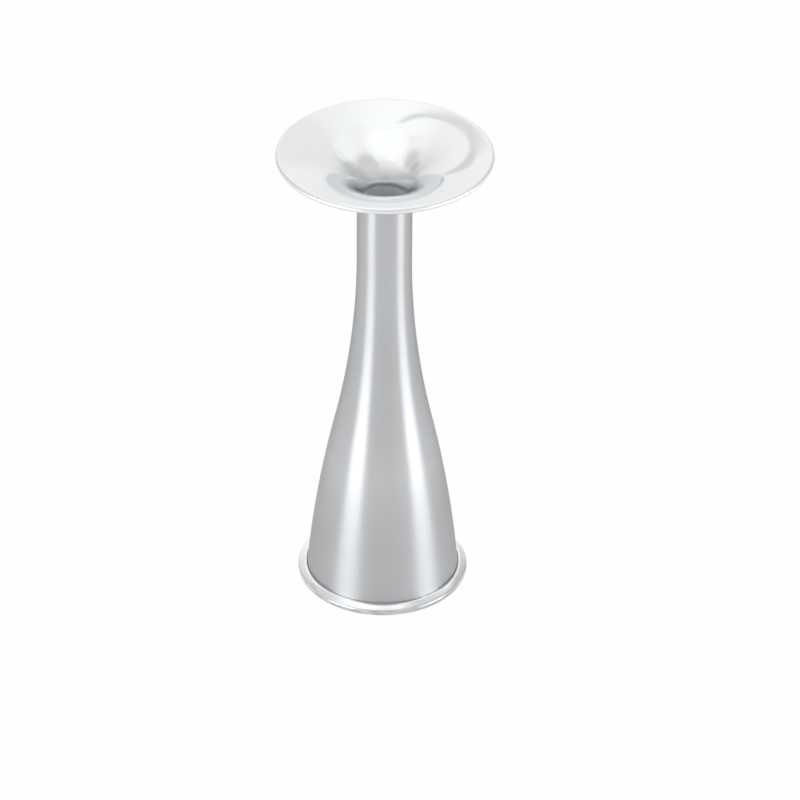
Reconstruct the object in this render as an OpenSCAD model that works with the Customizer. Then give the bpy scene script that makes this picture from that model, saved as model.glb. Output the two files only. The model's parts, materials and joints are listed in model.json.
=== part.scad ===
// Monaural foetal stethoscope: a spun aluminium listening horn with a dished ear plate.
// Every piece is a revolve about the vertical axis. Millimetres, +Z up.
// The horn stands on its rolled rim at Z = 0, with the ear plate on top.

/* [Overall] */
// Height from the surface that the rim stands on to the top of the ear plate
total_h = 155; // [130:1:190]

/* [Ear plate] */
// Outer diameter of the ear plate
plate_d = 66.4; // [62:0.2:80]
// Thickness of the ear plate, which is rounded over at its edge
plate_t = 2; // [1.6:0.1:2.4]
// Fall of the dish at its edge, in degrees
dish_angle = 14.6; // [12:0.2:17]
// Radius of the shallow curve of the dish, under the plate
dish_r = 77; // [60:1:100]
// Slope at which the shallow curve passes into the middle one, in degrees
mid_angle = 18; // [17.5:0.5:20]
// Radius of the middle curve, under the plate
mid_r = 37; // [33:0.5:41]
// Slope at which the middle curve passes into the trumpet curve, in degrees
throat_angle = 38.5; // [35:0.5:42]
// Radius of the trumpet curve, under the plate
throat_r = 11.7; // [10:0.1:14]
// Slope at which the trumpet curve turns down into the bore, in degrees
lip_angle = 65; // [55:1:78]
// Radius of the bend into the bore, under the plate
bend_r = 2; // [1:0.25:4]
// Plain collar between the bend and the shoulder that sits on the neck
collar_len = 0.6; // [0.4:0.1:3]
// Length of the spigot inside the neck
spigot_len = 10; // [6:0.5:16]
// Wall of the spigot
spigot_wall = 1; // [0.6:0.05:1.4]
// Lead-in chamfer at the end of the spigot
spigot_chamfer = 0.4; // [0.1:0.05:0.5]
// Radial clearance of the spigot in the neck
spigot_clearance = 0.02; // [0.01:0.01:0.1]

/* [Horn body] */
// Outer diameter of the neck
neck_d = 17; // [14:0.2:21]
// Straight length of the neck, below the shoulder
neck_len = 20.4; // [17:0.2:30]
// Thickness of the sheet that the horn is spun from
sheet_t = 0.8; // [0.6:0.05:1.2]
// Radius of the hollow flare below the neck, as a share of the round one above the mouth
flare_ratio = 0.65; // [0.4:0.05:1]
// Slope of the wall where it meets the rolled rim, in degrees
mouth_angle = 5; // [3:0.2:7]

/* [Rolled rim] */
// Outer diameter over the rolled rim
rim_d = 54.2; // [46:0.2:64]
// Diameter of the wire that the rim is rolled over
wire_d = 2; // [1.4:0.1:2.8]
// Radial clearance round the wire
wire_clearance = 0.02; // [0.02:0.01:0.1]
// Gap between the rolled edge and the wall of the horn
rim_gap = 0.35; // [0.2:0.05:0.7]
// Depth of the flat that is lapped on the rim
rest_flat = 0.15; // [0.05:0.05:0.4]

/* [Hidden] */
$fn = 180;

// Largest turn between two points of a rounded outline, in degrees
SMALL_ARC_STEP = 5;
MIDDLE_ARC_STEP = 1;
LARGE_ARC_STEP = 0.4;

// Rolled rim: the sheet goes once round the wire and stops short of the wall
curl_in = wire_d / 2 + wire_clearance;
curl_out = curl_in + sheet_t;
curl_centre = [rim_d / 2 - curl_out, curl_out - rest_flat];
curl_start = 180 + mouth_angle;
curl_end = curl_start + 360 - acos((curl_in - rim_gap) / curl_out);
flat_half_angle = acos(curl_centre.y / curl_out);

// Spigot and bore, which follow the neck
neck_r = neck_d / 2;
spigot_r = neck_r - sheet_t - spigot_clearance;
bore_r = spigot_r - spigot_wall;

// Ear plate: an edge round, a straight outer dish, three curves that steepen and a bend into the bore
edge_r = plate_t / 2;
edge_centre = [plate_d / 2 - edge_r, total_h - edge_r];
bend_out = bend_r + plate_t;
throat_out = throat_r + plate_t;
mid_out = mid_r + plate_t;
dish_out = dish_r + plate_t;
dish_dir = 90 + dish_angle;
mid_dir = 90 + mid_angle;
throat_dir = 90 + throat_angle;
lip_dir = 90 + lip_angle;

// Centres of the curves as seen from the bend's centre: two curves that meet share the line of their slope
throat_off = (bend_out - throat_out) * [cos(lip_dir), sin(lip_dir)];
mid_off = throat_off + (throat_out - mid_out) * [cos(throat_dir), sin(throat_dir)];
dish_off = mid_off + (mid_out - dish_out) * [cos(mid_dir), sin(mid_dir)];
dish_x = bore_r + bend_out + dish_off.x;
dish_drop = (dish_out - edge_r + (edge_centre.x - dish_x) * sin(dish_angle)) / cos(dish_angle);
bend_centre = [bore_r + bend_out, edge_centre.y - dish_drop - dish_off.y];
throat_centre = bend_centre + throat_off;
mid_centre = bend_centre + mid_off;
dish_centre = bend_centre + dish_off;
shoulder_z = bend_centre.y - collar_len;
spigot_end_z = shoulder_z - spigot_len;

// Flare: a hollow arc and a round arc that meet on one slope and end on the mouth's slope
flare_top_z = shoulder_z - neck_len;
mouth = curl_centre - curl_in * [cos(mouth_angle), sin(mouth_angle)];
flare_out = mouth.x - neck_r;
flare_drop = flare_top_z - mouth.y;
chord_angle = atan(flare_out / flare_drop);
chord_len = norm([flare_out, flare_drop]);
chord_part = flare_drop / chord_len * flare_ratio + cos(mouth_angle - chord_angle);
flare_angle = chord_angle + acos(chord_part / (1 + flare_ratio));
hollow_turn = flare_ratio * (1 - cos(flare_angle));
round_turn = cos(mouth_angle) - cos(flare_angle);
round_r = flare_out / (hollow_turn + round_turn);
hollow_r = flare_ratio * round_r;
hollow_centre = [neck_r + hollow_r, flare_top_z];
round_centre = mouth - round_r * [cos(mouth_angle), sin(mouth_angle)];

// Points along an arc from one direction to another, both ends included
function arc(centre, r, from, to, step) =
    let (n = ceil(abs(to - from) / step))
    [for (i = [0:n]) let (a = from + (to - from) * i / n) centre + r * [cos(a), sin(a)]];

// Turned ear plate, with the trumpet throat and the spigot that enters the neck
module ear_plate() {
    upper = concat(
        [[bore_r, spigot_end_z]],
        arc(bend_centre, bend_out, 180, lip_dir, SMALL_ARC_STEP),
        arc(throat_centre, throat_out, lip_dir, throat_dir, SMALL_ARC_STEP),
        arc(mid_centre, mid_out, throat_dir, mid_dir, MIDDLE_ARC_STEP),
        arc(dish_centre, dish_out, mid_dir, dish_dir, LARGE_ARC_STEP)
    );
    edge = arc(edge_centre, edge_r, dish_dir, dish_dir - 180, SMALL_ARC_STEP);
    under = concat(
        arc(dish_centre, dish_r, dish_dir, mid_dir, LARGE_ARC_STEP),
        arc(mid_centre, mid_r, mid_dir, throat_dir, MIDDLE_ARC_STEP),
        arc(throat_centre, throat_r, throat_dir, lip_dir, SMALL_ARC_STEP),
        arc(bend_centre, bend_r, lip_dir, 180, SMALL_ARC_STEP)
    );
    spigot = [
        [bore_r + plate_t, shoulder_z],
        [spigot_r, shoulder_z],
        [spigot_r, spigot_end_z + spigot_chamfer],
        [spigot_r - spigot_chamfer, spigot_end_z]
    ];
    color([0.91, 0.92, 0.93])
        rotate_extrude() polygon(concat(upper, edge, under, spigot));
}

// Spun horn: the neck, the flared bell and the edge rolled outwards over the wire
module horn_body() {
    outside = concat(
        [[neck_r, shoulder_z]],
        arc(hollow_centre, hollow_r, 180, 180 + flare_angle, LARGE_ARC_STEP),
        arc(round_centre, round_r, flare_angle, mouth_angle, LARGE_ARC_STEP)
    );
    curl = concat(
        arc(curl_centre, curl_in, curl_start, curl_end, SMALL_ARC_STEP),
        arc(curl_centre, curl_out, curl_end, 270 + flat_half_angle, SMALL_ARC_STEP),
        arc(curl_centre, curl_out, 270 - flat_half_angle, curl_start, SMALL_ARC_STEP)
    );
    inside = concat(
        arc(round_centre, round_r - sheet_t, mouth_angle, flare_angle, LARGE_ARC_STEP),
        arc(hollow_centre, hollow_r + sheet_t, 180 + flare_angle, 180, LARGE_ARC_STEP),
        [[neck_r - sheet_t, shoulder_z]]
    );
    color([0.70, 0.71, 0.72])
        rotate_extrude() polygon(concat(outside, curl, inside));
}

// Round wire closed up inside the rolled rim
module rim_wire() {
    color([0.60, 0.61, 0.62])
        rotate_extrude() translate(curl_centre) circle(d = wire_d);
}

ear_plate();
horn_body();
rim_wire();
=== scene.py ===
# %% [markdown]
# # A listening horn in polished and satin aluminium
# This lesson dresses an obstetric listening horn, a monaural foetal stethoscope. The construction is
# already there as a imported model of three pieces: a dished ear plate, a spun horn and a wire inside its
# rolled rim. Loading it first gives a fixed frame in metres, so each piece that is made here goes where
# the frame says.

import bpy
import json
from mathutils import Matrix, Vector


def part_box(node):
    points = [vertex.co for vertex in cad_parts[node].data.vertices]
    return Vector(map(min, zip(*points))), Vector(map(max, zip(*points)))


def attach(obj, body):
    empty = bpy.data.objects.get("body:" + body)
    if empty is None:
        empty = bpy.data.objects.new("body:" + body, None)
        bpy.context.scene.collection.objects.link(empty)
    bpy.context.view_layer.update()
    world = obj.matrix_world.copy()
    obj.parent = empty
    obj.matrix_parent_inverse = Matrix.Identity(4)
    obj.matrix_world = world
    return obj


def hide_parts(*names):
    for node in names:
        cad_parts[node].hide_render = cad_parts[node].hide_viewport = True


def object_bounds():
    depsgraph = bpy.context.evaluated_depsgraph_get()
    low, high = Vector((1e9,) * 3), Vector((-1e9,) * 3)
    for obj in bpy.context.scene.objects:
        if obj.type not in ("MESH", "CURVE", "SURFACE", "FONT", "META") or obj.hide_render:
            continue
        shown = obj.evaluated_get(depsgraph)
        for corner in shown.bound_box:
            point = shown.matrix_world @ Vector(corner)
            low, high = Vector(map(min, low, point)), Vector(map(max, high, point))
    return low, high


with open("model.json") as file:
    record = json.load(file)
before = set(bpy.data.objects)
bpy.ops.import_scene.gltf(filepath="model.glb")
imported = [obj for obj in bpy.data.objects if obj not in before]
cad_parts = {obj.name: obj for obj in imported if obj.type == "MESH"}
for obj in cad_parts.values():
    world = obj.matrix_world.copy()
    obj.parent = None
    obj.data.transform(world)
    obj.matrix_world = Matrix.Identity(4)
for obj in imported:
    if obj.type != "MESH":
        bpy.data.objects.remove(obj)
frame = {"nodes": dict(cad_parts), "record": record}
cad_low, cad_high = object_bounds()
print("nodes:", sorted(frame["nodes"]), "box in metres:", tuple(cad_low), tuple(cad_high))

# %% [markdown]
# ## The camera
# A product like this is shot from far away with a long lens, so that the plate and the rim keep nearly
# the same scale. The horn's two ellipses, plate and rim, fix the viewpoint: how open each one looks gives
# the elevation, and the difference between them gives the distance. The camera first looks at the middle
# of the axis and is then turned by a fraction of a degree, so that the horn sits a little left of and
# above the picture's centre. A lens shift would do that too, but other views would inherit it.

# %% Camera
import math

import bpy
from mathutils import Quaternion, Vector

PICTURE_SIDE = 800
SENSOR_WIDTH = 36
FOCAL_PIXELS = 4289
CAMERA_DISTANCE = 1.339
CAMERA_ELEVATION = math.radians(33.57)
CAMERA_ROLL = math.radians(0.35)
AIM_HEIGHT = 0.0775
AIM_PIXEL_LEFT = 16.5
AIM_PIXEL_UP = 33.6


def place_camera():
    """Make the scene's camera, turned so that the aim point lands left of and above the centre."""
    lens = bpy.data.cameras.new("photo_camera")
    lens.sensor_width = SENSOR_WIDTH
    lens.lens = FOCAL_PIXELS / PICTURE_SIDE * SENSOR_WIDTH
    camera = bpy.data.objects.new("photo_camera", lens)
    bpy.context.scene.collection.objects.link(camera)
    toward_camera = Vector((0, -math.cos(CAMERA_ELEVATION), math.sin(CAMERA_ELEVATION)))
    camera.location = Vector((0, 0, AIM_HEIGHT)) + CAMERA_DISTANCE * toward_camera
    turn_down = Quaternion((1, 0, 0), -math.atan(AIM_PIXEL_UP / FOCAL_PIXELS))
    turn_right = Quaternion((0, 1, 0), -math.atan(AIM_PIXEL_LEFT / FOCAL_PIXELS))
    roll = Quaternion((0, 0, 1), CAMERA_ROLL)
    camera.rotation_mode = "QUATERNION"
    camera.rotation_quaternion = (-toward_camera).to_track_quat("-Z", "Y") @ turn_down @ turn_right @ roll
    bpy.context.scene.camera = camera
    return camera


camera = place_camera()
print("camera at", tuple(camera.location), "lens in mm:", round(camera.data.lens, 1))

# %% [markdown]
# ## Sizes
# The boxes of the three nodes and the record's mounts hold most of the sizes: the plate's and the rim's
# diameters, the wire, the bore and the neck. What a box can't show, such as the sheet's thickness and the
# slopes and radii of the curves, is repeated here with the values that the solids were built from.

# %% Sizes from the frame
MM = 0.001

plate_low, plate_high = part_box("ear_plate")
_, horn_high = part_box("horn_body")
wire_low, wire_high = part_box("rim_wire")
mounts = {mount["name"]: mount for mount in frame["record"]["mounts"]}

plate_r = plate_high.x
plate_top_z = plate_high.z
spigot_end_z = plate_low.z
shoulder_z = horn_high.z
rim_r = horn_high.x
wire_r = (wire_high.z - wire_low.z) / 2
bore_r = mounts["sound_bore"]["dims"]["r_mm"] * MM
neck_r = mounts["neck_clip"]["dims"]["r_mm"] * MM
neck_len = mounts["neck_clip"]["dims"]["length_mm"] * MM
radii = {"plate": plate_r, "neck": neck_r, "rim": rim_r, "wire": wire_r}
print("radii in mm:", {name: round(radius / MM, 2) for name, radius in radii.items()})

# %% Sizes of the sheet and its curves
SHEET = 0.8 * MM
PLATE_SHEET = 2.0 * MM
DISH_SLOPE = 14.6
DISH_R = 77.0 * MM
MIDDLE_SLOPE = 18.0
MIDDLE_R = 37.0 * MM
TRUMPET_SLOPE = 38.5
TRUMPET_R = 11.7 * MM
LIP_SLOPE = 65.0
BEND_R = 2.0 * MM
SPIGOT_WALL = 1.0 * MM
SPIGOT_CHAMFER = 0.4 * MM
FLARE_RATIO = 0.65
MOUTH_SLOPE = 5.0
RIM_GAP = 0.35 * MM
WIRE_CLEARANCE = 0.02 * MM
print("sheet of the horn and of the plate in mm:", SHEET / MM, PLATE_SHEET / MM)

# %% [markdown]
# ## From an outline to a turned piece
# Both outer pieces were turned or spun on a lathe, so each is one closed outline carried round the
# vertical axis. A Screw modifier could do that, but building the rings directly has two gains: each
# stretch of the outline can carry its own finish, and the hand's small unevenness can be added ring by
# ring. Round stretches are true arcs, and long straight ones are cut into short steps as well, because
# shading normals are averaged from ring to ring and a mirror finish shows the smallest kink.

# %% Outline helpers


def polar(centre, radius, degrees):
    """The point at a distance and a direction from a centre, in the outline's plane."""
    angle = math.radians(degrees)
    return (centre[0] + radius * math.cos(angle), centre[1] + radius * math.sin(angle))


def arc(centre, radius, start, end, spacing):
    """Points along an arc between two directions in degrees, both ends included."""
    count = max(2, math.ceil(math.radians(abs(end - start)) * radius / spacing))
    return [polar(centre, radius, start + (end - start) * i / count) for i in range(count + 1)]


def run(start, end, spacing):
    """Points along a straight stretch, both ends included."""
    count = max(1, math.ceil(math.dist(start, end) / spacing))
    share = [i / count for i in range(count + 1)]
    return [(start[0] + (end[0] - start[0]) * s, start[1] + (end[1] - start[1]) * s) for s in share]


quarter = arc((0, 0), 10 * MM, 0, 90, 2 * MM)
print("a quarter circle of 10 mm in steps of up to 2 mm takes", len(quarter), "points")

# %% Turning helpers
import bmesh

RINGS = 240
SHARP_EDGE = math.radians(28)
SAME_POINT = 1e-7


def closed_outline(stretches):
    """Join stretches of (finish, points) into one loop: its points, and the finish after each point."""
    points, finishes = [], []
    for finish, stretch in stretches:
        for point in stretch:
            if points and math.dist(points[-1], point) < SAME_POINT:
                finishes[-1] = finish
                continue
            points.append(point)
            finishes.append(finish)
    if math.dist(points[0], points[-1]) < SAME_POINT:
        points.pop()
        finishes.pop()
    return points, finishes


def turn_piece(name, stretches, finish_order, uneven=None):
    """Carry a closed outline round the Z axis. uneven(finish, point, angle) may shift a point a little."""
    points, finishes = closed_outline(stretches)
    bm = bmesh.new()
    rings = []
    for i in range(RINGS):
        angle = 2 * math.pi * i / RINGS
        ring = []
        for point, finish in zip(points, finishes):
            r, z = uneven(finish, point, angle) if uneven else point
            ring.append(bm.verts.new((r * math.cos(angle), r * math.sin(angle), z)))
        rings.append(ring)
    for i, ring in enumerate(rings):
        after = rings[(i + 1) % RINGS]
        for j, finish in enumerate(finishes):
            k = (j + 1) % len(points)
            face = bm.faces.new((ring[j], ring[k], after[k], after[j]))
            face.material_index = finish_order.index(finish)
            face.smooth = True
    bmesh.ops.recalc_face_normals(bm, faces=bm.faces)
    mesh = bpy.data.meshes.new(name)
    bm.to_mesh(mesh)
    bm.free()
    mesh.set_sharp_from_angle(angle=SHARP_EDGE)
    piece = bpy.data.objects.new(name, mesh)
    bpy.context.scene.collection.objects.link(piece)
    print(name, "has", len(mesh.polygons), "faces from an outline of", len(points), "points")
    return piece


print("rings round the axis:", RINGS)

# %% [markdown]
# ## The ear plate
# On the real horn this is a thick turned dish. Its face falls towards the middle ever more steeply, rolls
# over a trumpet-shaped throat and drops into the bore, and a short spigot below it is pushed into the
# neck. The outline goes up the bore, over the throat and out along the dish, round the edge and back
# underneath. The face is a bell curve of four arcs, each wider than the one before. Two arcs that meet
# share the line of their slope, so their centres lie on it and the curve has no kink. The underside uses
# the same centres, which keeps the wall the same thickness all along. The face is mirror polished right
# round its edge, the underside is satin like the horn, and the bore keeps its turned finish.

# %% Ear plate curves
edge_r = PLATE_SHEET / 2
edge_centre = (plate_r - edge_r, plate_top_z - edge_r)

# Radius under the plate, and direction of the start, of each arc from the bore outwards
FACE_ARCS = (
    (BEND_R, 180),
    (TRUMPET_R, 90 + LIP_SLOPE),
    (MIDDLE_R, 90 + TRUMPET_SLOPE),
    (DISH_R, 90 + MIDDLE_SLOPE),
)


def face_centres():
    """Centres of the arcs of the face, so that the last one runs into the straight edge of the dish."""
    centre = (bore_r + BEND_R + PLATE_SHEET, 0.0)
    centres = [centre]
    for (inner, _), (outer, start) in zip(FACE_ARCS, FACE_ARCS[1:]):
        centre = polar(centre, outer - inner, start - 180)
        centres.append(centre)
    slope = math.radians(DISH_SLOPE)
    above = DISH_R + PLATE_SHEET - edge_r + (edge_centre[0] - centre[0]) * math.sin(slope)
    lift = edge_centre[1] - above / math.cos(slope) - centre[1]
    return [(r, z + lift) for r, z in centres]


face_arc_centres = face_centres()
print("heights of the face's arc centres in mm:", [round(z / MM, 1) for _, z in face_arc_centres])

# %% Ear plate outline
PLATE_SPACING = 0.6 * MM
ROUND_SPACING = 0.12 * MM
# Longest step along an arc, as a share of its radius
ARC_STEP = 0.06

spigot_r = bore_r + SPIGOT_WALL
dish_dir = 90 + DISH_SLOPE


def ear_plate_stretches():
    """The ear plate's outline, from the foot of its bore round the dish and back to the spigot."""
    ends = [start for _, start in FACE_ARCS[1:]] + [dish_dir]
    face, under = [], []
    for centre, (radius, start), end in zip(face_arc_centres, FACE_ARCS, ends):
        spacing = min(PLATE_SPACING, radius * ARC_STEP)
        face += arc(centre, radius + PLATE_SHEET, start, end, spacing)
        under = arc(centre, radius, end, start, spacing) + under
    bore = run((bore_r, spigot_end_z), face[0], PLATE_SPACING)
    dish = run(face[-1], polar(edge_centre, edge_r, dish_dir), PLATE_SPACING)
    edge = arc(edge_centre, edge_r, dish_dir, dish_dir - 180, ROUND_SPACING)
    under_dish = run(edge[-1], under[0], PLATE_SPACING)
    spigot = [
        under[-1],
        (bore_r + PLATE_SHEET, shoulder_z),
        (spigot_r, shoulder_z),
        (spigot_r, spigot_end_z + SPIGOT_CHAMFER),
        (spigot_r - SPIGOT_CHAMFER, spigot_end_z),
        (bore_r, spigot_end_z),
    ]
    return [
        ("turned", bore),
        ("mirror", face + dish + edge),
        ("satin", under_dish + under),
        ("turned", spigot),
    ]


ear_plate = turn_piece("ear_plate_turned", ear_plate_stretches(), ["mirror", "satin", "turned"])
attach(ear_plate, "root")
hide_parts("ear_plate")

# %% [markdown]
# ## The spun horn and its rolled rim
# The horn is spun from one sheet: a straight neck, a hollow flare that turns into a round one, and an
# edge that is rolled outwards once round a wire. The two flare arcs meet on one slope, so the wall has no
# kink. The rolled edge stops just short of the wall, and that narrow gap is the dark line above the bead.
# Above it the wall turns out by about 0.16 mm, where the rolling tool began its bend. The finished roll
# isn't quite round: hammering it down on the wire leaves its upper side nearly flat, and that sloping
# band mirrors the bright ceiling instead of the wall behind it. It is never quite even either, and a
# polished rim shows that in broken reflections, so the outside of the roll also gets a few slow waves of
# some hundredths of a millimetre. They fade out underneath, where the rim is lapped flat.

# %% Horn curves
curl_in = wire_r + WIRE_CLEARANCE
curl_out = curl_in + SHEET
curl_centre = (wire_high.x - wire_r, (wire_high.z + wire_low.z) / 2)
curl_start = 180 + MOUTH_SLOPE
curl_end = curl_start + 360 - math.degrees(math.acos((curl_in - RIM_GAP) / curl_out))
flat_half_angle = math.degrees(math.acos(curl_centre[1] / curl_out))

flare_top_z = shoulder_z - neck_len
mouth = polar(curl_centre, curl_in, curl_start)
flare_width = mouth[0] - neck_r
flare_drop = flare_top_z - mouth[1]
chord_slope = math.degrees(math.atan(flare_width / flare_drop))
chord_cos = math.cos(math.radians(MOUTH_SLOPE - chord_slope))
chord_part = flare_drop / math.hypot(flare_width, flare_drop) * FLARE_RATIO + chord_cos
flare_slope = chord_slope + math.degrees(math.acos(chord_part / (1 + FLARE_RATIO)))
flare_cos = math.cos(math.radians(flare_slope))
mouth_cos = math.cos(math.radians(MOUTH_SLOPE))
round_r = flare_width / (FLARE_RATIO * (1 - flare_cos) + mouth_cos - flare_cos)
hollow_r = FLARE_RATIO * round_r
hollow_centre = (neck_r + hollow_r, flare_top_z)
round_centre = polar(mouth, round_r, curl_start)
print("flare slope in degrees:", round(flare_slope, 2))
print("flare radii in mm:", round(hollow_r / MM), round(round_r / MM))

# %% Horn outline
WALL_SPACING = 2.0 * MM
FLICK_SPACING = 0.3 * MM
# Height below which the wall turns out, length above the mouth in which it starts to, and the shift
# that it would come to at the floor
FLICK_TOP = 5.5 * MM
FLICK_RISE = 1.3 * MM
WALL_FLICK = 0.69 * MM


def horn_stretches():
    """The horn's outline, down the outside, round the rolled rim and up the inside."""
    neck = run((neck_r, shoulder_z), (neck_r, flare_top_z), WALL_SPACING)
    hollow = arc(hollow_centre, hollow_r, 180, 180 + flare_slope, WALL_SPACING)
    flick_slope = math.degrees(math.asin((FLICK_TOP - round_centre[1]) / round_r))
    rounded = arc(round_centre, round_r, flare_slope, flick_slope, WALL_SPACING)
    rounded += arc(round_centre, round_r, flick_slope, MOUTH_SLOPE, FLICK_SPACING)
    curl_inside = arc(curl_centre, curl_in, curl_start, curl_end, ROUND_SPACING)
    cut_edge = run(curl_inside[-1], polar(curl_centre, curl_out, curl_end), ROUND_SPACING)
    bead = arc(curl_centre, curl_out, curl_end, 270 + flat_half_angle, ROUND_SPACING)
    flat = run(bead[-1], polar(curl_centre, curl_out, 270 - flat_half_angle), ROUND_SPACING)
    bead_inside = arc(curl_centre, curl_out, 270 - flat_half_angle, curl_start, ROUND_SPACING)
    rounded_inside = arc(round_centre, round_r - SHEET, MOUTH_SLOPE, flare_slope, WALL_SPACING)
    hollow_inside = arc(hollow_centre, hollow_r + SHEET, 180 + flare_slope, 180, WALL_SPACING)
    neck_inside = run(hollow_inside[-1], (neck_r - SHEET, shoulder_z), WALL_SPACING)
    top = run((neck_r - SHEET, shoulder_z), (neck_r, shoulder_z), WALL_SPACING)
    return [
        ("satin", neck + hollow + rounded),
        ("inside", curl_inside + cut_edge),
        ("bead", bead),
        ("bead", flat + bead_inside),
        ("inside", rounded_inside + hollow_inside + neck_inside + top),
    ]


horn_outline = horn_stretches()
print("stretches of the horn's outline:", [finish for finish, _ in horn_outline])

# %% Horn with a hand-rolled bead
# Count round the rim, size and phase of each wave
BEAD_WAVES = ((5, 0.022 * MM, 0.4), (9, 0.016 * MM, 2.1), (16, 0.010 * MM, 4.0))
WAVE_FADE = 0.5
# Direction that the flat faces, in degrees, and the share of the radius that it takes off
BEAD_FLAT_DIRECTION = 57.0
BEAD_FLAT_DEPTH = 0.19
BEAD_FLAT_SWAY = 0.05
BEAD_BLOWS = 6
BEAD_FLAT_SHARPNESS = 16
# Direction from which the top edge of the roll lifts, in degrees
BEAD_TOP_FROM = 75.0
BEAD_RAISE = 0.12


def hammered(direction, angle):
    """The bead's radius in a direction, as a share: 1 on the round, less where it was hammered flat."""
    depth = BEAD_FLAT_DEPTH - BEAD_FLAT_SWAY * math.cos(BEAD_BLOWS * (angle + math.pi / 2))
    across = math.cos(math.radians(direction - BEAD_FLAT_DIRECTION))
    if across <= 0:
        return 1.0
    flat_share = across / (1 - depth)
    return (1 + flat_share ** BEAD_FLAT_SHARPNESS) ** (-1 / BEAD_FLAT_SHARPNESS)


def hand_rolled(finish, point, angle):
    """Flick the wall out above the rim, and make the bead as uneven as hammering leaves it."""
    if finish == "satin":
        low = max(0, 1 - point[1] / FLICK_TOP)
        rise = min(1, (point[1] - mouth[1]) / FLICK_RISE)
        return (point[0] + WALL_FLICK * low ** 2 * rise, point[1])
    if finish != "bead":
        return point
    out = (point[0] - curl_centre[0], point[1] - curl_centre[1])
    direction = math.degrees(math.atan2(out[1], out[0]))
    top = max(0, direction - BEAD_TOP_FROM) / (curl_end - 360 - BEAD_TOP_FROM)
    upward = min(1, max(0, WAVE_FADE + out[1] / curl_out))
    outward = max(0, out[0] / curl_out)
    wave = sum(size * math.sin(count * angle + phase) for count, size, phase in BEAD_WAVES)
    share = hammered(direction, angle) + BEAD_RAISE * top ** 2 + wave * upward * outward / curl_out
    return (curl_centre[0] + out[0] * share, curl_centre[1] + out[1] * share)


horn = turn_piece("horn_spun", horn_outline, ["satin", "bead", "inside"], hand_rolled)
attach(horn, "root")
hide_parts("horn_body")

# %% [markdown]
# ## Shader helpers
# A material is a small tree of nodes. One helper adds a node and fills its inputs, either with a plain
# value or with a link from another node, and a second one does sums. Effects that several finishes share
# become node groups: a group is built once, and each material then places it with its own values.

# %% Node helpers
# Places of a Mix node's colour sockets, which follow those for numbers and vectors
MIX_FACTOR, MIX_FIRST, MIX_SECOND, MIX_RESULT = 0, 6, 7, 2


def add(tree, kind, inputs=None, **options):
    """Add one node, set its options, then set or link its inputs."""
    node = tree.nodes.new(kind)
    for key, value in options.items():
        setattr(node, key, value)
    for key, value in (inputs or {}).items():
        if isinstance(value, bpy.types.NodeSocket):
            tree.links.new(value, node.inputs[key])
        else:
            node.inputs[key].default_value = value
    return node


def sum_of(tree, operation, first, second=0.0):
    """The output of a Math node."""
    return add(tree, "ShaderNodeMath", {0: first, 1: second}, operation=operation).outputs[0]


def scaled(tree, value, gain, offset):
    """A value times a gain, plus an offset."""
    return add(tree, "ShaderNodeMath", {0: value, 1: gain, 2: offset}, operation="MULTIPLY_ADD").outputs[0]


def fade(tree, value, low, high, to_low=0.0, to_high=1.0):
    """A smooth step of a value from one level to another."""
    inputs = {"Value": value, "From Min": low, "From Max": high, "To Min": to_low, "To Max": to_high}
    return add(tree, "ShaderNodeMapRange", inputs, interpolation_type="SMOOTHSTEP").outputs["Result"]


def grey(level):
    """An opaque grey."""
    return (level, level, level, 1.0)


def mixed(tree, factor, first, second, blend="MIX"):
    """Two colours mixed by a factor."""
    inputs = {MIX_FACTOR: factor, MIX_FIRST: first, MIX_SECOND: second}
    return add(tree, "ShaderNodeMix", inputs, data_type="RGBA", blend_type=blend).outputs[MIX_RESULT]


def grey_ramp(tree, value, stops):
    """A grey level that follows a value through (place, level) stops."""
    node = add(tree, "ShaderNodeValToRGB", {"Fac": value})
    ramp = node.color_ramp
    while len(ramp.elements) < len(stops):
        ramp.elements.new(0.5)
    for element, (spot, level) in zip(ramp.elements, stops):
        element.position = spot
        element.color = grey(level)
    return node.outputs["Color"]


node_helpers = (add, sum_of, scaled, fade, grey, mixed, grey_ramp)
print("node helpers:", [helper.__name__ for helper in node_helpers])

# %% Material and group helpers


def blank_material(name):
    """A material with an empty tree."""
    material = bpy.data.materials.new(name)
    material.use_nodes = True
    material.node_tree.nodes.clear()
    return material, material.node_tree


def new_group(name, inputs, outputs):
    """An empty shader group with named float inputs and outputs, and its two end nodes."""
    group = bpy.data.node_groups.new(name, "ShaderNodeTree")
    for label, value in inputs.items():
        socket = group.interface.new_socket(label, in_out="INPUT", socket_type="NodeSocketFloat")
        socket.default_value = value
    for label in outputs:
        group.interface.new_socket(label, in_out="OUTPUT", socket_type="NodeSocketFloat")
    return group, group.nodes.new("NodeGroupInput").outputs, group.nodes.new("NodeGroupOutput").inputs


def place(tree, group, **values):
    """Place a group in a material with its own values, and return its outputs."""
    node = add(tree, "ShaderNodeGroup", node_tree=group)
    for label, value in values.items():
        socket = node.inputs[label.replace("_", " ").capitalize()]
        if isinstance(value, bpy.types.NodeSocket):
            tree.links.new(value, socket)
        else:
            socket.default_value = value
    return node.outputs


print("material and group helpers:", [helper.__name__ for helper in (blank_material, new_group, place)])

# %% [markdown]
# ### Turning lines
# A lathe leaves fine lines that run round the piece. They depend on the place along the outline and
# hardly on the angle, so the group stretches a noise round the axis: two coordinates are the direction
# from the axis, which change slowly, and the third is the place along the outline, divided by the spacing
# of the lines.

# %% Group: turning lines
# Output, its count as a share of the lines, and its detail
LINE_KINDS = (("Lines", 1.0, 3.0), ("Bands", 0.08, 1.0))


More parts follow.
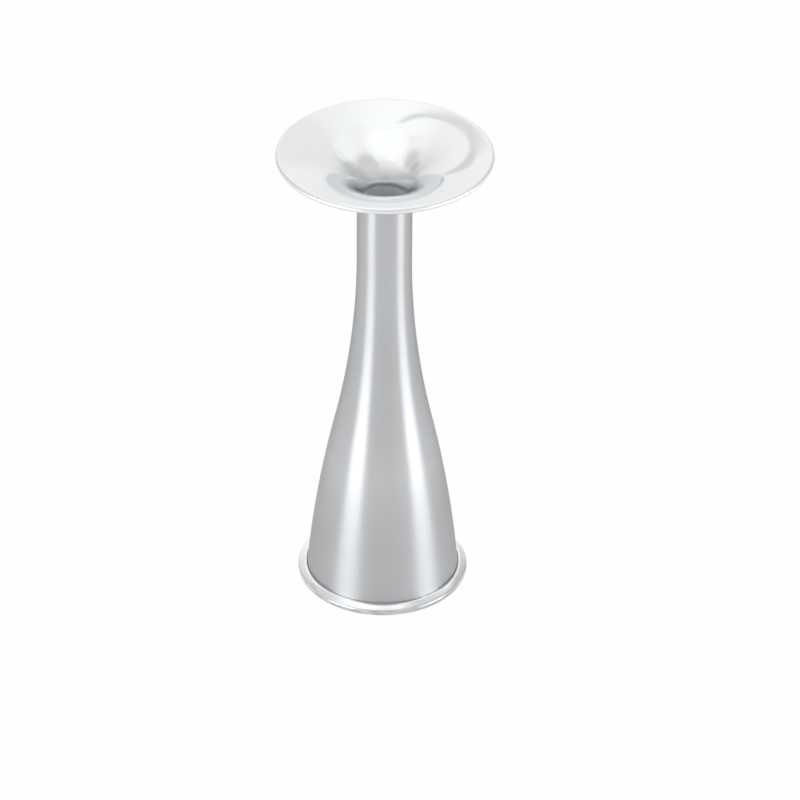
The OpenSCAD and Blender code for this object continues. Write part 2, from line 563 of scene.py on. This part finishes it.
def build_turning_lines():
    """Lines that run round the axis, and broader bands among them, both from 0 to 1."""
    inputs = {"Along": 0.0, "Spacing": 0.3 * MM, "Drift": 0.6}
    group, given, result = new_group("Turning lines", inputs, ["Lines", "Bands"])
    place_of = add(group, "ShaderNodeTexCoord").outputs["Object"]
    flat = add(group, "ShaderNodeVectorMath", {0: place_of, 1: (1, 1, 0)}, operation="MULTIPLY").outputs[0]
    round_axis = add(group, "ShaderNodeVectorMath", {0: flat}, operation="NORMALIZE").outputs[0]
    drift = add(group, "ShaderNodeVectorMath", {0: round_axis, "Scale": given["Drift"]}, operation="SCALE")
    split = add(group, "ShaderNodeSeparateXYZ", {0: drift.outputs[0]}).outputs
    step = sum_of(group, "DIVIDE", given["Along"], given["Spacing"])
    for label, share, detail in LINE_KINDS:
        along = sum_of(group, "MULTIPLY", step, share)
        point = add(group, "ShaderNodeCombineXYZ", {0: split[0], 1: split[1], 2: along}).outputs[0]
        noise = add(group, "ShaderNodeTexNoise", {"Vector": point, "Scale": 1.0, "Detail": detail})
        group.links.new(noise.outputs["Fac"], result[label])
    return group


turning_lines = build_turning_lines()
print("group:", turning_lines.name)

# %% [markdown]
# ### Handling marks
# Aluminium that is wiped and carried is never evenly bright. Broad soft patches of haze come from cloths
# and hands, and short curved hairlines from everything it touches. The haze is a slow noise, stretched
# between two of its levels. The hairlines are the thin contour where a faster noise crosses its mean,
# kept only in some patches.

# %% Group: handling marks
NOISE_MEAN = 0.5
HAZE_RANGE = (0.42, 0.68)
HAIRLINE_PATCHES = (0.55, 0.66)


def build_handling_marks():
    """Patches of haze and short hairlines, both from 0 to 1."""
    inputs = {"Haze scale": 60.0, "Hairline scale": 220.0, "Hairline width": 0.012}
    group, given, result = new_group("Handling marks", inputs, ["Haze", "Hairlines"])
    place_of = add(group, "ShaderNodeTexCoord").outputs["Object"]
    slow = {"Vector": place_of, "Scale": given["Haze scale"]}
    cloudy = add(group, "ShaderNodeTexNoise", {**slow, "Detail": 4.0}).outputs["Fac"]
    haze = fade(group, cloudy, *HAZE_RANGE)
    group.links.new(haze, result["Haze"])
    quick = {"Vector": place_of, "Scale": given["Hairline scale"], "Detail": 2.0, "Distortion": 1.5}
    fast = add(group, "ShaderNodeTexNoise", quick).outputs["Fac"]
    from_mean = sum_of(group, "ABSOLUTE", sum_of(group, "SUBTRACT", fast, NOISE_MEAN))
    near = sum_of(group, "DIVIDE", from_mean, given["Hairline width"])
    line = fade(group, near, 0.0, 1.0, 1.0, 0.0)
    patch = add(group, "ShaderNodeTexNoise", {**slow, "Detail": 2.0}).outputs["Fac"]
    kept = fade(group, patch, *HAIRLINE_PATCHES)
    group.links.new(sum_of(group, "MULTIPLY", line, kept), result["Hairlines"])
    return group


handling_marks = build_handling_marks()
print("group:", handling_marks.name)

# %% [markdown]
# ### Where on the lathe
# The finishes also need to know how far a point is from the axis and how high it is, for instance to run
# lines along a radius on the plate but along the height on the horn. That is one small group more.

# %% Group: lathe place


def build_lathe_place():
    """Distance from the axis and height, in metres."""
    group, _, result = new_group("Lathe place", {}, ["Radius", "Height"])
    place_of = add(group, "ShaderNodeTexCoord").outputs["Object"]
    flat = add(group, "ShaderNodeVectorMath", {0: place_of, 1: (1, 1, 0)}, operation="MULTIPLY").outputs[0]
    radius = add(group, "ShaderNodeVectorMath", {0: flat}, operation="LENGTH").outputs["Value"]
    group.links.new(radius, result["Radius"])
    height = add(group, "ShaderNodeSeparateXYZ", {0: place_of}).outputs["Z"]
    group.links.new(height, result["Height"])
    return group


lathe_place = build_lathe_place()
print("group:", lathe_place.name)

# %% [markdown]
# ### The start of a metal
# Every finish here is bare aluminium. A glossy plastic in grey would not do, because a metal tints what
# it mirrors and has no paint below. So each finish starts from one Principled shader with Metallic at its
# full value, and only its colour, roughness and relief change over the surface.

# %% Start of a metal


def new_metal(name, **constants):
    """A material with one metal shader, whose constant sockets are set by name."""
    material, tree = blank_material(name)
    shader = add(tree, "ShaderNodeBsdfPrincipled", {"Metallic": 1.0})
    for label, value in constants.items():
        shader.inputs[label.replace("_", " ").title()].default_value = value
    output = add(tree, "ShaderNodeOutputMaterial", {"Surface": shader.outputs[0]})
    output.is_active_output = True
    return material, tree, shader


def shade_between(tree, factor, first, second):
    """A colour between two colours of the metal."""
    return mixed(tree, factor, (*first, 1.0), (*second, 1.0))


def dress(tree, shader, colour, rough, relief=None, strength=0.0, depth=0.0):
    """Link a colour and a roughness to the shader, and a relief where there is one."""
    tree.links.new(colour, shader.inputs["Base Color"])
    tree.links.new(rough, shader.inputs["Roughness"])
    if relief is not None:
        bump = add(tree, "ShaderNodeBump", {"Strength": strength, "Distance": depth, "Height": relief})
        tree.links.new(bump.outputs[0], shader.inputs["Normal"])


print("metal helpers:", [helper.__name__ for helper in (new_metal, shade_between, dress)])

# %% [markdown]
# ## Mirror polish on the dish
# The face of the ear plate is buffed on the lathe until it mirrors the room. Its colour is that of clean
# aluminium, faintly darker in the haze. The polish is not perfect: very fine rings from the buffing wheel
# and a slow unevenness bend the reflections, and hairlines from use catch light. The wheel doesn't reach
# far into the throat, so the mirror turns rougher there towards the bore, and its colour is darkened there
# with painted shade. The outermost edge is rougher from handling, and the lower half of its rounding is
# darkened with painted shade, for the dark that it mirrors below the plate. Such marks could be painted
# on a picture, but noise that follows the lathe needs no file and has no seam.

# %% Material: mirror polish
# Radii between which the throat turns rougher and is darkened with painted shade
POLISH_AND_LIGHT_END = 6.6 * MM
POLISH_AND_LIGHT_FULL = 9.6 * MM
# Edge: width of its wear and painted shade, the fade, and the heights round its middle where the painted
# shade on its lower half fades in
EDGE_WORN_AND_SHADED = 0.9 * MM
EDGE_FADE = 0.45 * MM
EDGE_SHADE_ABOVE = 0.3 * MM
EDGE_SHADE_BELOW = 0.5 * MM
MIRROR_TINT = 0.89
MIRROR_CLEAN = (0.888, 0.904, 0.914)
# Colour of the haze, and of the painted shade in the throat and under the edge
MIRROR_HAZE_AND_SHADE = (0.7, 0.714, 0.725)
HAZE_DULLS = 0.1
EDGE_SHADE_SHARE = 0.6
MIRROR_ROUGH = 0.07
THROAT_ROUGHER = 0.22
EDGE_ROUGHER = 0.42
HAZE_ROUGHER = 0.05
HAIRLINES_ROUGHER = 0.12
BANDS_HIGHER = 4.0


def mirror_polish():
    """Buffed aluminium with faint rings, haze and hairlines, rougher and with painted shade in the throat.
    """
    material, tree, shader = new_metal("Mirror_polish")
    shader.inputs["Specular Tint"].default_value = grey(MIRROR_TINT)
    where = place(tree, lathe_place)
    rings = place(tree, turning_lines, along=where["Radius"], spacing=0.25 * MM, drift=0.8)
    marks = place(tree, handling_marks, haze_scale=70.0, hairline_scale=260.0, hairline_width=0.006)
    # Painted shade darkens the throat towards the bore, and the same mask makes it rougher
    throat = fade(tree, where["Radius"], POLISH_AND_LIGHT_END, POLISH_AND_LIGHT_FULL, 1.0, 0.0)
    # Painted shade darkens the lower half of the outer edge, for the dark that it mirrors below the plate
    edge_z = edge_centre[1]
    below = fade(tree, where["Height"], edge_z - EDGE_SHADE_BELOW, edge_z + EDGE_SHADE_ABOVE, 1.0, 0.0)
    worn_and_shaded_from = plate_r - EDGE_WORN_AND_SHADED
    outer = fade(tree, where["Radius"], worn_and_shaded_from - EDGE_FADE, worn_and_shaded_from)
    haze_and_shade = scaled(tree, marks["Haze"], HAZE_DULLS, throat)
    haze_and_shade = scaled(tree, sum_of(tree, "MULTIPLY", below, outer), EDGE_SHADE_SHARE, haze_and_shade)
    colour = shade_between(tree, haze_and_shade, MIRROR_CLEAN, MIRROR_HAZE_AND_SHADE)
    rough = scaled(tree, throat, THROAT_ROUGHER, MIRROR_ROUGH)
    edge = fade(tree, where["Radius"], worn_and_shaded_from, plate_r)
    rough = scaled(tree, edge, EDGE_ROUGHER, rough)
    rough = scaled(tree, marks["Haze"], HAZE_ROUGHER, rough)
    rough = scaled(tree, marks["Hairlines"], HAIRLINES_ROUGHER, rough)
    relief = scaled(tree, rings["Bands"], BANDS_HIGHER, rings["Lines"])
    dress(tree, shader, colour, rough, relief, strength=0.03, depth=0.02 * MM)
    return material


mirror_finish = mirror_polish()
print("finish:", mirror_finish.name)

# %% [markdown]
# ## Satin horn
# The horn is rubbed with abrasive while it spins, which leaves a satin made of countless fine grooves
# round the axis. Such grooves smear each highlight along the axis, across their own run, and that draws
# the two long light stripes down the horn. Cutting them into the mesh would take millions of faces, so
# the Principled shader does it with its anisotropy: the tangent runs round the axis, and a quarter turn
# of the anisotropic rotation sends the smear along it. The underside of the plate has the same satin, so
# one function makes both, with the lines counted along the height or along the radius. Two ramps follow
# the horn's height. One is painted light: it lightens the colour of the lower horn, most on the wide
# flare. The other, from uneven rubbing, makes the satin by the rim coarser, which widens the stripes
# there and darkens the wall between them.

# %% Material: satin
QUARTER_TURN = 0.25
SATIN_TINT = 0.5
SATIN_LINE_SHARE = 0.6
SATIN_HAZE_SHARE = 0.4
SATIN_LINES_ROUGHER = 0.04


def radial_tangent(tree, shader):
    """Let the shader's grain follow the lathe."""
    tangent = add(tree, "ShaderNodeTangent", direction_type="RADIAL", axis="Z")
    tree.links.new(tangent.outputs[0], shader.inputs["Tangent"])


def satin(name, along, shades, painted_light, coarseness):
    """Satin aluminium whose grooves run round the axis, with painted light and its own coarseness by
    height.
    """
    material, tree, shader = new_metal(name, anisotropic=0.88, anisotropic_rotation=QUARTER_TURN)
    shader.inputs["Specular Tint"].default_value = grey(SATIN_TINT)
    radial_tangent(tree, shader)
    where = place(tree, lathe_place)
    lines = place(tree, turning_lines, along=where[along], spacing=0.35 * MM, drift=0.5)
    marks = place(tree, handling_marks, haze_scale=45.0, hairline_scale=200.0, hairline_width=0.008)
    haze = sum_of(tree, "MULTIPLY", marks["Haze"], SATIN_HAZE_SHARE)
    colour = shade_between(tree, scaled(tree, lines["Lines"], SATIN_LINE_SHARE, haze), *shades)
    height_share = sum_of(tree, "DIVIDE", where["Height"], cad_high[2])
    # Painted light: the colour is multiplied by a ramp along the height, lightest on the wide flare
    with_painted_light = mixed(tree, 1.0, colour, grey_ramp(tree, height_share, painted_light), blend="MULTIPLY")
    coarse = grey_ramp(tree, height_share, coarseness)
    rough = scaled(tree, lines["Lines"], SATIN_LINES_ROUGHER, coarse)
    dress(tree, shader, with_painted_light, rough, lines["Lines"], strength=0.05, depth=0.02 * MM)
    return material


print("satin helpers:", [helper.__name__ for helper in (radial_tangent, satin)])

# %% Satin of the plate and of the horn
PLATE_SATIN = ((0.5, 0.51, 0.522), (0.54, 0.552, 0.565))
NO_PAINTED_LIGHT = ((0.0, 1.0), (1.0, 1.0))
EVEN_COARSENESS = ((0.0, 0.35), (1.0, 0.35))
HORN_SATIN = ((0.566, 0.578, 0.592), (0.603, 0.616, 0.631))
# Shares of the height, with the painted light (a factor on the colour) and the roughness of the satin there
HORN_PAINTED_LIGHT = ((0, 1.06), (0.18, 1.05), (0.23, 1.06), (0.3, 1.12), (0.36, 1.1), (0.43, 1.05), (0.52, 1))
HORN_COARSENESS = ((0, 0.46), (0.13, 0.45), (0.18, 0.41), (0.23, 0.38), (0.3, 0.35))

satin_plate = satin("Satin_underside", "Radius", PLATE_SATIN, NO_PAINTED_LIGHT, EVEN_COARSENESS)
satin_horn = satin("Satin_horn", "Height", HORN_SATIN, HORN_PAINTED_LIGHT, HORN_COARSENESS)
print("finishes:", satin_plate.name, satin_horn.name)

# %% [markdown]
# ## Turned bore
# No polishing wheel reaches into the bore, and none is let near the spigot, so both stay as the cutting
# tool left them: bright metal with open rings. The rings are too fine to model. A rough finish with a
# relief of turning lines scatters light down the bore as the real rings do.

# %% Material: turned bore
TURNED_CLEAN = (0.91, 0.928, 0.94)
TURNED_DULL = (0.85, 0.867, 0.88)
TURNED_ROUGH = 0.75
TURNED_LINES_ROUGHER = 0.1


def turned_bore():
    """Bare turned aluminium, bright but with open tool lines that scatter light down the bore."""
    material, tree, shader = new_metal("Turned_bore")
    where = place(tree, lathe_place)
    rings = place(tree, turning_lines, along=where["Height"], spacing=0.2 * MM, drift=0.4)
    colour = shade_between(tree, rings["Bands"], TURNED_CLEAN, TURNED_DULL)
    rough = scaled(tree, rings["Lines"], TURNED_LINES_ROUGHER, TURNED_ROUGH)
    dress(tree, shader, colour, rough, rings["Lines"], strength=0.25, depth=0.03 * MM)
    return material


turned_finish = turned_bore()
print("finish:", turned_finish.name)

# %% Finishes of the ear plate
for finish in (mirror_finish, satin_plate, turned_finish):
    ear_plate.data.materials.append(finish)
print("ear plate finishes:", [material.name for material in ear_plate.data.materials])

# %% [markdown]
# ## Polished bead
# The rolled rim is polished by hand, and hands keep it bright on top. Low down, next to the floor, its
# colour is darkened with painted shade in broken streaks, for the shadow that it mirrors there, and it is
# rougher there too. A mask could be painted for that, but shade that depends on the height comes out right
# all round: it fades in below a set height and is broken up by coarse turning lines.

# %% Material: polished bead
# Heights up to which the bead is fully darkened with painted shade, and from which it has none
BEAD_SHADED_BELOW = 1.4 * MM
BEAD_UNSHADED_ABOVE = 2.8 * MM
BEAD_CLEAN = (0.95, 0.96, 0.968)
# Colour of the haze, and of the painted shade low down
BEAD_HAZE_AND_SHADE = (0.44, 0.45, 0.46)
BEAD_ROUGH = 0.11
BEAD_DULL_ROUGHER = 0.2
BEAD_HAZE_DULLS = 0.2
STREAK_RANGE = (0.35, 0.6)
STREAK_LEAST = 0.6


def polished_bead():
    """The rolled rim, polished by hand and by use, darkened with painted shade and rougher low down."""
    material, tree, shader = new_metal("Polished_bead")
    where = place(tree, lathe_place)
    marks = place(tree, handling_marks, haze_scale=120.0, hairline_scale=300.0, hairline_width=0.01)
    streaks = place(tree, turning_lines, along=where["Height"], spacing=0.7 * MM, drift=7.0)
    # Painted shade: the colour darkens below a set height, broken into streaks
    low = fade(tree, where["Height"], BEAD_SHADED_BELOW, BEAD_UNSHADED_ABOVE, 1.0, 0.0)
    broken = fade(tree, streaks["Lines"], *STREAK_RANGE, STREAK_LEAST, 1.0)
    bead_shade = sum_of(tree, "MULTIPLY", low, broken)
    haze_and_shade = scaled(tree, marks["Haze"], BEAD_HAZE_DULLS, bead_shade)
    colour = shade_between(tree, haze_and_shade, BEAD_CLEAN, BEAD_HAZE_AND_SHADE)
    rough = scaled(tree, haze_and_shade, BEAD_DULL_ROUGHER, BEAD_ROUGH)
    lines = place(tree, turning_lines, along=where["Radius"], spacing=0.25 * MM, drift=3.0)
    dress(tree, shader, colour, rough, lines["Lines"], strength=0.1, depth=0.03 * MM)
    return material


bead_finish = polished_bead()
print("finish:", bead_finish.name)

# %% [markdown]
# ## Inside of the horn
# Inside, the horn keeps the finish of the spinning lathe: a little darker than the satin, with wider
# lines and less of a smear. It shows only from below, so a plain version of the satin is enough.

# %% Material: inside of the horn
INSIDE_DARK = (0.5, 0.5, 0.505)
INSIDE_LIGHT = (0.58, 0.58, 0.585)
INSIDE_ROUGH = 0.35
INSIDE_LINES_ROUGHER = 0.15


def horn_inside():
    """The inside as it comes from the spinning lathe, duller than the outside."""
    material, tree, shader = new_metal("Horn_inside", anisotropic=0.6, anisotropic_rotation=QUARTER_TURN)
    radial_tangent(tree, shader)
    where = place(tree, lathe_place)
    lines = place(tree, turning_lines, along=where["Height"], spacing=0.5 * MM, drift=0.5)
    colour = shade_between(tree, lines["Bands"], INSIDE_DARK, INSIDE_LIGHT)
    rough = scaled(tree, lines["Lines"], INSIDE_LINES_ROUGHER, INSIDE_ROUGH)
    dress(tree, shader, colour, rough, lines["Lines"], strength=0.15, depth=0.03 * MM)
    return material


inside_finish = horn_inside()
print("finish:", inside_finish.name)

# %% Finishes of the horn
for finish in (satin_horn, bead_finish, inside_finish):
    horn.data.materials.append(finish)
print("horn finishes:", [material.name for material in horn.data.materials])

# %% [markdown]
# ## The rim wire
# The wire inside the rolled rim is drawn aluminium, hardly seen, deep in the gap. Its solid is right as
# it is, so it stays and only gets a finish: dull, with the fine lines of the drawing die along it.

# %% Material: drawn wire
WIRE_DARK = (0.45, 0.45, 0.455)
WIRE_LIGHT = (0.6, 0.605, 0.61)
WIRE_ROUGH = 0.3
WIRE_LINES_ROUGHER = 0.2


def drawn_wire():
    """Drawn aluminium, dull, with the lines of the die."""
    material, tree, shader = new_metal("Drawn_wire")
    where = place(tree, lathe_place)
    lines = place(tree, turning_lines, along=where["Height"], spacing=0.1 * MM, drift=0.3)
    colour = shade_between(tree, lines["Lines"], WIRE_DARK, WIRE_LIGHT)
    rough = scaled(tree, lines["Lines"], WIRE_LINES_ROUGHER, WIRE_ROUGH)
    dress(tree, shader, colour, rough)
    return material


wire = frame["nodes"]["rim_wire"]
wire.data.materials.clear()
wire.data.materials.append(drawn_wire())
print("wire finish:", wire.data.materials[0].name)

# %% [markdown]
# ## Floor
# The floor is white paper that runs far past the picture. More light would whiten it, but would bleach
# the metal too. So it glows by itself for rays that reach it from the camera or off metal, which keeps it
# white in the picture and in the metal alike. A share of plain paint stays and takes the horn's shadow.
# From below it is clear, so the underside can be looked at.

# %% Floor
FLOOR_SIDE = 16.0
FLOOR_DROP = 0.02 * MM
FLOOR_GLOW = 0.96
FLOOR_PAINT = 0.9
WHITE = grey(1.0)


def white_floor():
    """A white floor that glows for camera, mirror and glass rays, and is clear from below."""
    bpy.ops.mesh.primitive_plane_add(size=FLOOR_SIDE, location=(0, 0, -FLOOR_DROP))
    floor = bpy.context.object
    floor.name = "studio_floor"
    material, tree = blank_material("White_floor")
    rays = add(tree, "ShaderNodeLightPath").outputs
    seen = sum_of(tree, "MAXIMUM", rays["Is Camera Ray"], rays["Is Glossy Ray"])
    seen = sum_of(tree, "MAXIMUM", seen, rays["Is Transmission Ray"])
    glow = sum_of(tree, "MULTIPLY", seen, FLOOR_GLOW)
    paint = add(tree, "ShaderNodeBsdfDiffuse", {"Color": grey(FLOOR_PAINT)})
    light = add(tree, "ShaderNodeEmission", {"Color": WHITE, "Strength": 1.0})
    top = add(tree, "ShaderNodeMixShader", {0: glow, 1: paint.outputs[0], 2: light.outputs[0]})
    below = add(tree, "ShaderNodeNewGeometry").outputs["Backfacing"]
    clear = add(tree, "ShaderNodeBsdfTransparent")
    both = add(tree, "ShaderNodeMixShader", {0: below, 1: top.outputs[0], 2: clear.outputs[0]})
    add(tree, "ShaderNodeOutputMaterial", {"Surface": both.outputs[0]})
    floor.data.materials.append(material)
    return floor


floor = white_floor()
print("floor:", floor.name)

# %% [markdown]
# ## Light panels
# Shiny metal is lit by what it mirrors. The two stripes on the horn come from two soft panels that stand
# on the floor to its left and right, about 50 and 65 degrees round from the camera. They are low, so the
# satin smears them along the whole horn while the dish, which looks up, hardly sees them. Each fades out
# towards its edges, as a cloth-covered light does. The camera itself doesn't see the panels.

# %% Panels
PANEL_DISTANCE = 0.6
PANEL_WIDTH = 0.46
PANEL_HEIGHT = 0.3
PANEL_LEVEL = 5.6
# Share of a panel's side, from its middle, where its light starts to fade
PANEL_FULL = 0.22
# Middle of a side, as a share of it, which is also the distance to either end
PANEL_MIDDLE = 0.5
PANEL_AZIMUTHS = {"panel_left": -51.5, "panel_right": 66}


def soft_edge(tree, place_along):
    """A fade from the middle of a panel's side, where it is 1, to its two ends."""
    from_middle = sum_of(tree, "ABSOLUTE", sum_of(tree, "SUBTRACT", place_along, PANEL_MIDDLE))
    return fade(tree, from_middle, PANEL_FULL, PANEL_MIDDLE, 1.0, 0.0)


def soft_panel(name, azimuth):
    """A glowing panel that stands on the floor and faces the axis, unseen by the camera."""
    angle = math.radians(azimuth)
    out = Vector((math.sin(angle), -math.cos(angle), 0))
    centre = out * PANEL_DISTANCE + Vector((0, 0, PANEL_HEIGHT / 2))
    bpy.ops.mesh.primitive_plane_add(size=1.0, location=centre)
    panel = bpy.context.object
    panel.name = name
    panel.scale = (PANEL_WIDTH, PANEL_HEIGHT, 1.0)
    panel.rotation_mode = "QUATERNION"
    panel.rotation_quaternion = out.to_track_quat("-Z", "Y")
    material, tree = blank_material(name)
    spread = add(tree, "ShaderNodeTexCoord").outputs["Generated"]
    spot = add(tree, "ShaderNodeSeparateXYZ", {0: spread}).outputs
    soft = sum_of(tree, "MULTIPLY", soft_edge(tree, spot["X"]), soft_edge(tree, spot["Y"]))
    strength = sum_of(tree, "MULTIPLY", soft, PANEL_LEVEL)
    light = add(tree, "ShaderNodeEmission", {"Color": WHITE, "Strength": strength})
    add(tree, "ShaderNodeOutputMaterial", {"Surface": light.outputs[0]})
    panel.data.materials.append(material)
    panel.visible_camera = False
    return panel


for name, azimuth in PANEL_AZIMUTHS.items():
    print("panel:", soft_panel(name, azimuth).name)

# %% [markdown]
# ### A seam in the cloth
# The white cloth over the plate isn't seamless. One grey seam runs away behind the plate and is enough to
# draw a long curved line on the right of the dish, which is a hollow mirror round its axis and bends a
# nearly straight thing into a hook. The seam is a strip, four points across, that lies level above the
# plate. An attribute on the points says how much of the seam shows, so that it fades out into the cloth
# at its sides and its ends.

# %% Seam
SEAM_HEIGHT = 310
SEAM_LEVEL = 0.7
SEAM_ACROSS = 4

# Distance behind the axis, place of the middle, half width of the full grey and of the whole seam, all in
# millimetres, and how much of the grey shows
SEAM_ROWS = (
    (84, -9.5, 0.5, 2.5, 0.3),
    (100, -12.5, 1, 3, 0.9),
    (125, -15, 1, 3.5, 1.0),
    (150, -23.5, 0.5, 3, 1.0),
    (210, -39.5, 1, 5, 0.9),
    (280, -58, 5, 10.5, 0.9),
    (400, -90, 9, 20, 0.9),
    (640, -165, 11, 35, 0.8),
    (1100, -314, 14, 48, 0.4),
)


def cloth_seam():
    """A grey strip above the plate that fades out at its sides."""
    points, shown = [], []
    for behind, middle, full, whole, share in SEAM_ROWS:
        for aside in (-whole, -full, full, whole):
            points.append(((middle + aside) * MM, behind * MM, SEAM_HEIGHT * MM))
        shown += [0.0, share, share, 0.0]
    starts = [i for i in range(len(points) - SEAM_ACROSS) if (i + 1) % SEAM_ACROSS]
    faces = [(i, i + 1, i + 1 + SEAM_ACROSS, i + SEAM_ACROSS) for i in starts]
    mesh = bpy.data.meshes.new("cloth_seam")
    mesh.from_pydata(points, [], faces)
    mesh.attributes.new("shown", "FLOAT", "POINT").data.foreach_set("value", shown)
    seam = bpy.data.objects.new("cloth_seam", mesh)
    bpy.context.scene.collection.objects.link(seam)
    material, tree = blank_material("Cloth_seam")
    cover = add(tree, "ShaderNodeAttribute", attribute_name="shown").outputs["Fac"]
    light = add(tree, "ShaderNodeEmission", {"Color": grey(SEAM_LEVEL), "Strength": 1.0})
    clear = add(tree, "ShaderNodeBsdfTransparent")
    both = add(tree, "ShaderNodeMixShader", {0: cover, 1: clear.outputs[0], 2: light.outputs[0]})
    add(tree, "ShaderNodeOutputMaterial", {"Surface": both.outputs[0]})
    seam.data.materials.append(material)
    seam.visible_camera = False
    return seam


print("seam:", cloth_seam().name)

# %% [markdown]
# ## The room
# Above the floor the dish mirrors the rest of the room, and a mirror this clean is only as good as the
# room round it. The world starts with one ramp from the horizon to the brightest place overhead. Round
# soft patches are then laid over it one by one, so that a later one covers an earlier one: the white
# cloth behind with a fold in it, lights above and on the right, and darker walls on both sides and behind
# the camera. Each patch is full inside one angle from its middle and gone outside another. A photograph
# of a room would do as well, but patches need no file and can be moved one by one until each reflection
# sits where it should.

# %% Levels of the room
# Share of the way up, and level there
ROOM_RAMP = (
    (0.0, 0.6),
    (0.3, 0.565),
    (0.45, 0.62),
    (0.6, 0.77),
    (0.72, 0.88),
    (0.83, 1.0),
    (0.92, 0.97),
    (1.0, 1.15),
)

# Bearing from straight behind, elevation, full and outer angle in degrees, and level
ROOM_PATCHES = {
    "white cloth": (-4, 22.5, 9, 49, 0.99),
    "right wall": (116, 31.5, 31.5, 40.5, 0.68),
    "left wall": (-79, 48.5, 1, 16.5, 0.68),
    "camera side": (175, 0, 1, 85, 0.73),
    "light over the cloth": (-10.5, 66, 3.5, 17.5, 1.08),
    "foot of the right wall": (69, 7, 3.5, 43, 0.54),
    "fold in the cloth": (25, 32.5, 1, 20.5, 0.89),
    "light overhead": (-116, 79.5, 5, 20, 1.11),
    "shade on the left wall": (-67.5, 35.5, 1, 11, 0.56),
    "light on the right": (52, 49.5, 5, 13, 1.01),
    "glow under that light": (47.5, 39.5, 2.5, 6.5, 0.93),
    "dark behind the camera": (180, -5, 22, 42, 0.48),
}

print("patches in the room:", len(ROOM_PATCHES))

# %% World and view


def bearing_direction(bearing, elevation):
    """The unit direction of a bearing and an elevation in degrees."""
    turn, rise = math.radians(bearing), math.radians(elevation)
    return (math.sin(turn) * math.cos(rise), math.cos(turn) * math.cos(rise), math.sin(rise))


def studio_room():
    """A world with one ramp up from the horizon and round soft patches over it."""
    world = bpy.data.worlds.new("studio")
    world.use_nodes = True
    tree = world.node_tree
    look = add(tree, "ShaderNodeTexCoord").outputs["Generated"]
    height = add(tree, "ShaderNodeSeparateXYZ", {0: look}).outputs["Z"]
    colour = grey_ramp(tree, height, ROOM_RAMP)
    for name, (bearing, elevation, full, outer, level) in ROOM_PATCHES.items():
        aim = {0: look, 1: bearing_direction(bearing, elevation)}
        near = add(tree, "ShaderNodeVectorMath", aim, operation="DOT_PRODUCT", label=name).outputs["Value"]
        share = fade(tree, near, math.cos(math.radians(outer)), math.cos(math.radians(full)))
        colour = mixed(tree, share, colour, grey(level))
    tree.links.new(colour, tree.nodes["Background"].inputs["Color"])
    return world


bpy.context.scene.world = studio_room()
bpy.context.scene.view_settings.view_transform = "Standard"
print("world:", bpy.context.scene.world.name)

# %% [markdown]
# ## Closing

# %% Finish
import json
